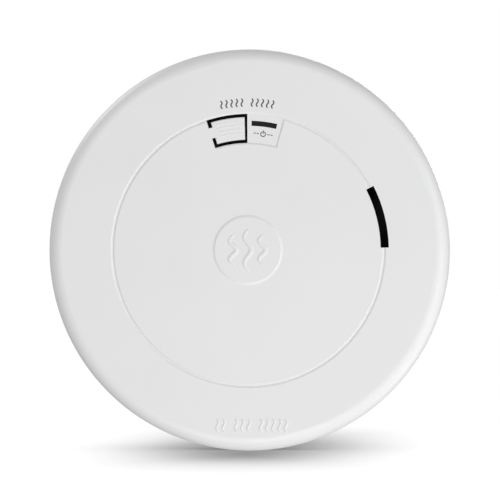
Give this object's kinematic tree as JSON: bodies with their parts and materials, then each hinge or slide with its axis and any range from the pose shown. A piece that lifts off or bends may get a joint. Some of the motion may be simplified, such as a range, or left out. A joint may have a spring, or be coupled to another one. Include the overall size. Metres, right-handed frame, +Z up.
{
  "type": "smoke detector",
  "caption": "Slim round wall or ceiling smoke detector with a press-in test tab, a status window, a curved sounder slot and a twist-on bracket.",
  "frame": {"origin": "centre of the bracket's back face, on the wall", "axes": "+Y points into the wall, so the alarm's face looks along -Y; +Z is up and +X is to the right of a person who faces the alarm"},
  "size_m": [0.142, 0.0344, 0.142],
  "materials": {
    "casing_white": "fine satin moulded",
    "bracket_white": "satin moulded",
    "black_plastic": "matt moulded",
    "smoked_window": "smoked, polished",
    "lamp_clear": "clear tinted resin",
    "board_green": "solder mask",
    "screw_steel": "zinc plated",
    "tinned_steel": "tin plated",
    "chip_black": "moulded epoxy",
    "ferrite": "ground ferrite",
    "can_aluminium": "drawn can",
    "chip_ceramic": "fired",
    "cell_sleeve": "shrink sleeve on a steel can",
    "nickel": "rolled strip",
    "foam": "closed-cell foam",
    "screen_steel": "etched sheet",
    "brass": "rolled",
    "silvered_ceramic": "fired silver",
    "label_paper": "coated",
    "infrared_resin": "tinted resin"
  },
  "bodies": {
    "bracket": {"mounting_bracket": "bracket_white"},
    "alarm": {"rear_housing": "casing_white", "front_cover": "casing_white", "housing_screws": "screw_steel", "rating_label": "label_paper", "dust_shield": "foam", "light_pipe": "smoked_window", "status_led": "lamp_clear", "test_switch_body": "chip_black", "circuit_board": "board_green", "board_screws": "screw_steel", "microcontroller": "chip_black", "horn_driver": "chip_black", "boost_inductor": "ferrite", "storage_capacitor": "can_aluminium", "chip_resistors": "chip_black", "chip_capacitors": "chip_ceramic", "battery_cell": "cell_sleeve", "battery_tabs": "nickel", "battery_foam": "foam", "chamber_base": "black_plastic", "chamber_labyrinth": "black_plastic", "insect_screen": "screen_steel", "infrared_led": "infrared_resin", "photodiode": "infrared_resin", "photodiode_shield": "tinned_steel", "sounder_base": "black_plastic", "piezo_disc": "brass", "piezo_ceramic": "silvered_ceramic", "resonator_cup": "black_plastic", "sounder_gasket": "foam", "sounder_contacts": "tinned_steel", "activation_switch_body": "chip_black"},
    "button": {"test_button": "casing_white"},
    "plunger": {"test_switch_plunger": "black_plastic"},
    "slider": {"activation_slider": "black_plastic"}
  },
  "joints": [
    {"name": "alarm_twist", "type": "hinge", "parent": "bracket", "child": "alarm", "pos_m": [0, 0, 0], "axis": [0, -1, 0], "range_deg": [0, 20]},
    {"name": "button_press", "type": "hinge", "parent": "alarm", "child": "button", "pos_m": [-0.01326, -0.0324, 0.04106], "axis": [-0.3074, 0, 0.9516], "range_deg": [0, 3.5], "stiffness_Nm_per_rad": 0.2},
    {"name": "plunger_press", "type": "slide", "parent": "alarm", "child": "plunger", "axis": [0, 1, 0], "range_m": [0, 0.0004]},
    {"name": "activation_slide", "type": "slide", "parent": "alarm", "child": "slider", "axis": [1, 0, 0], "range_m": [0, 0.003]}
  ],
  "couplings": [
    {"joint": "plunger_press", "follows": "button_press", "m_per_rad": 0.006}
  ]
}
